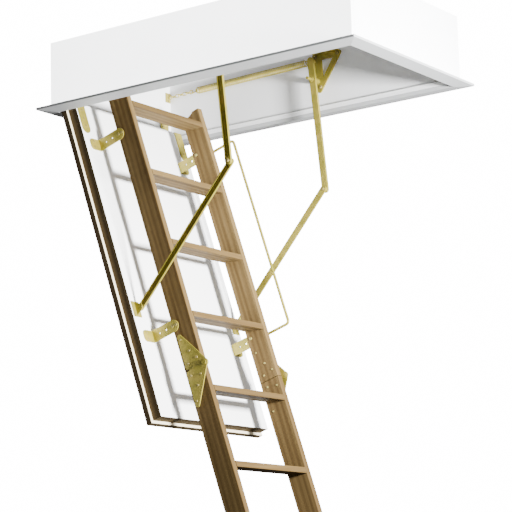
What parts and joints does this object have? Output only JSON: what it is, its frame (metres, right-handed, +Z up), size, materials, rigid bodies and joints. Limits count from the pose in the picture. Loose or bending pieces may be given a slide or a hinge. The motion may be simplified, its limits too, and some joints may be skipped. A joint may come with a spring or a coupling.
{
  "type": "attic ladder",
  "caption": "Folding wooden attic ladder on an insulated ceiling hatch in a lined frame, with fold plates, support arms, springs and a handrail.",
  "frame": {"origin": "centre of the hinge-end trim's upper face, on the ceiling plane", "axes": "+X from the hinge end to the latch end, +Z up, +Y towards the handrail side"},
  "size_m": [1.314, 0.75, 3.0288],
  "materials": {
    "pine": "satin varnish",
    "white": "white paint",
    "grey": "matte",
    "cover": "matte",
    "zinc": "yellow zinc plate",
    "steel": "zinc plate",
    "rubber": "matte"
  },
  "bodies": {
    "ceiling_frame": {"trim_hinge_end": "grey", "trim_latch_end": "grey", "trim_far": "grey", "trim_near": "grey", "lining_hinge_end": "white", "lining_latch_end": "white", "lining_far": "white", "lining_near": "white", "frame_hinge_leaf_near": "zinc", "arm_bracket_near": "zinc", "chain_hook_near": "steel", "frame_hinge_leaf_far": "zinc", "arm_bracket_far": "zinc", "chain_hook_far": "steel"},
    "hatch": {"hatch_cover": "cover", "hatch_panel": "white", "handrail": "zinc", "hatch_hinge_leaf_near": "zinc", "ladder_bracket_top_near": "zinc", "ladder_bracket_low_near": "zinc", "hatch_arm_bracket_near": "zinc", "stringer_1_near": "pine", "fold_1_pin_plate_near": "zinc", "hatch_hinge_leaf_far": "zinc", "ladder_bracket_top_far": "zinc", "ladder_bracket_low_far": "zinc", "hatch_arm_bracket_far": "zinc", "stringer_1_far": "pine", "fold_1_pin_plate_far": "zinc", "tread_1": "pine", "tread_2": "pine", "tread_3": "pine", "tread_4": "pine"},
    "section_2": {"stringer_2_near": "pine", "stringer_2_far": "pine", "tread_5": "pine", "tread_6": "pine", "tread_7": "pine", "tread_8": "pine", "fold_1_turn_plate_near": "zinc", "fold_1_turn_plate_far": "zinc", "fold_2_pin_plate_near": "zinc", "fold_2_pin_plate_far": "zinc"},
    "section_3": {"stringer_3_near": "pine", "stringer_3_far": "pine", "tread_9": "pine", "tread_10": "pine", "tread_11": "pine", "fold_2_turn_plate_near": "zinc", "fold_2_turn_plate_far": "zinc", "foot_near": "rubber", "foot_far": "rubber"},
    "spring_near": {"spring_chain_near": "steel", "spring_near": "steel"},
    "upper_arm_near": {"upper_arm_near": "zinc"},
    "lower_arm_near": {"lower_arm_near": "zinc"},
    "spring_far": {"spring_chain_far": "steel", "spring_far": "steel"},
    "upper_arm_far": {"upper_arm_far": "zinc"},
    "lower_arm_far": {"lower_arm_far": "zinc"}
  },
  "joints": [
    {"name": "hatch_hinge", "type": "hinge", "parent": "ceiling_frame", "child": "hatch", "pos_m": [0.0424, 0, 0.004], "axis": [0, -1, 0], "range_deg": [0, 60], "deforming": ["spring_near", "spring_far"]},
    {"name": "fold_1", "type": "hinge", "parent": "hatch", "child": "section_2", "pos_m": [0.57171, 0, -0.937], "axis": [0, -1, 0], "range_deg": [0, 180]},
    {"name": "fold_2", "type": "hinge", "parent": "section_2", "child": "section_3", "pos_m": [0.79297, 0, -1.96523], "axis": [0, -1, 0], "range_deg": [-180, 0]},
    {"name": "upper_arm_near_pivot", "type": "hinge", "parent": "ceiling_frame", "child": "upper_arm_near", "pos_m": [0.692, 0, 0.107], "axis": [0, -1, 0], "range_deg": [0, 152.4]},
    {"name": "lower_arm_near_pivot", "type": "hinge", "parent": "hatch", "child": "lower_arm_near", "pos_m": [0.34253, 0, -0.73378], "axis": [0, -1, 0], "range_deg": [-21.6, 0]},
    {"name": "upper_arm_far_pivot", "type": "hinge", "parent": "ceiling_frame", "child": "upper_arm_far", "pos_m": [0.692, 0, 0.107], "axis": [0, -1, 0], "range_deg": [0, 152.4]},
    {"name": "lower_arm_far_pivot", "type": "hinge", "parent": "hatch", "child": "lower_arm_far", "pos_m": [0.34253, 0, -0.73378], "axis": [0, -1, 0], "range_deg": [-21.6, 0]},
    {"name": "spring_near_swing", "type": "hinge", "parent": "ceiling_frame", "child": "spring_near", "pos_m": [0.042, 0, 0.165], "axis": [0, -1, 0], "range_deg": [-13.5, 0]},
    {"name": "spring_far_swing", "type": "hinge", "parent": "ceiling_frame", "child": "spring_far", "pos_m": [0.042, 0, 0.165], "axis": [0, -1, 0], "range_deg": [-13.5, 0]}
  ],
  "couplings": [
    {"joint": "fold_2", "follows": "fold_1", "ratio": -1},
    {"joint": "upper_arm_near_pivot", "follows": "hatch_hinge", "ratio": 2.5238},
    {"joint": "lower_arm_near_pivot", "follows": "hatch_hinge", "ratio": -0.34345},
    {"joint": "spring_near_swing", "follows": "hatch_hinge", "ratio": -0.20856},
    {"joint": "upper_arm_far_pivot", "follows": "hatch_hinge", "ratio": 2.5238},
    {"joint": "lower_arm_far_pivot", "follows": "hatch_hinge", "ratio": -0.34345},
    {"joint": "spring_far_swing", "follows": "hatch_hinge", "ratio": -0.20856}
  ]
}
